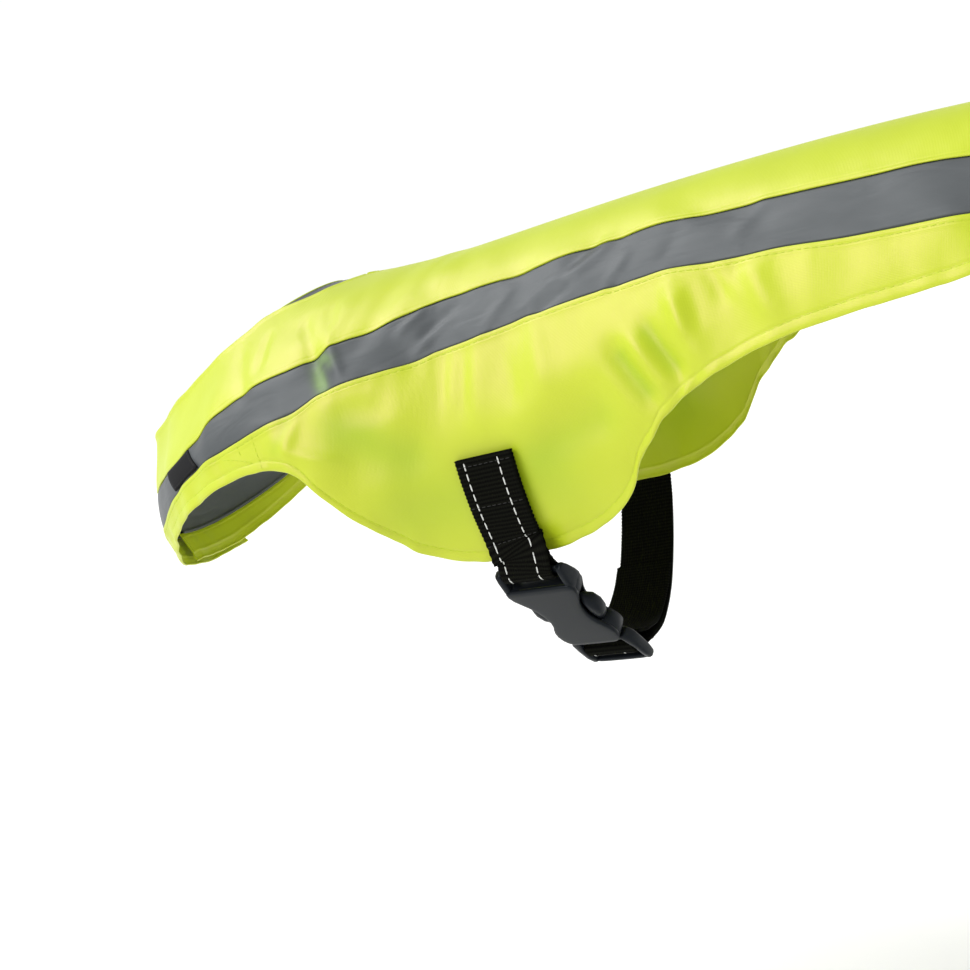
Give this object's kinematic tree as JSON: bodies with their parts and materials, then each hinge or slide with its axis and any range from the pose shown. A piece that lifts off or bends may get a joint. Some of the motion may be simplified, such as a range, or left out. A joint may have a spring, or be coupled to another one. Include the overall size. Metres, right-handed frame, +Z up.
{
  "type": "dog safety vest",
  "caption": "Bright yellow vest for a dog, shown worn, with grey reflective stripes, chest fastener and buckled belly strap.",
  "frame": {"origin": "inside of the back on the spine line, just in front of the belly strap, where the wearer's back carries the vest", "axes": "+X from head to tail along the back, +Y to the wearer's right side, +Z up from the back"},
  "size_m": [0.4594, 0.1775, 0.1842],
  "materials": {
    "hi_vis_polyester": "satin knitted polyester",
    "reflective_tape": "grey retroreflective tape",
    "black_webbing": "matte woven polypropylene",
    "black_acetal": "moulded, fine grain",
    "label_weave": "plain woven label",
    "hook_and_loop": "hook and loop tape"
  },
  "bodies": {
    "root": {"back_panel": "hi_vis_polyester", "side_panel_left": "hi_vis_polyester", "side_panel_right": "hi_vis_polyester", "stripe_left": "reflective_tape", "stripe_right": "reflective_tape", "nape_strip": "reflective_tape", "label_blank": "label_weave", "chest_loop_patch": "hook_and_loop", "chest_hook_patch": "hook_and_loop", "belly_strap_left": "black_webbing", "belly_strap_right": "black_webbing", "buckle_socket": "black_acetal", "buckle_plug": "black_acetal"}
  },
  "joints": []
}
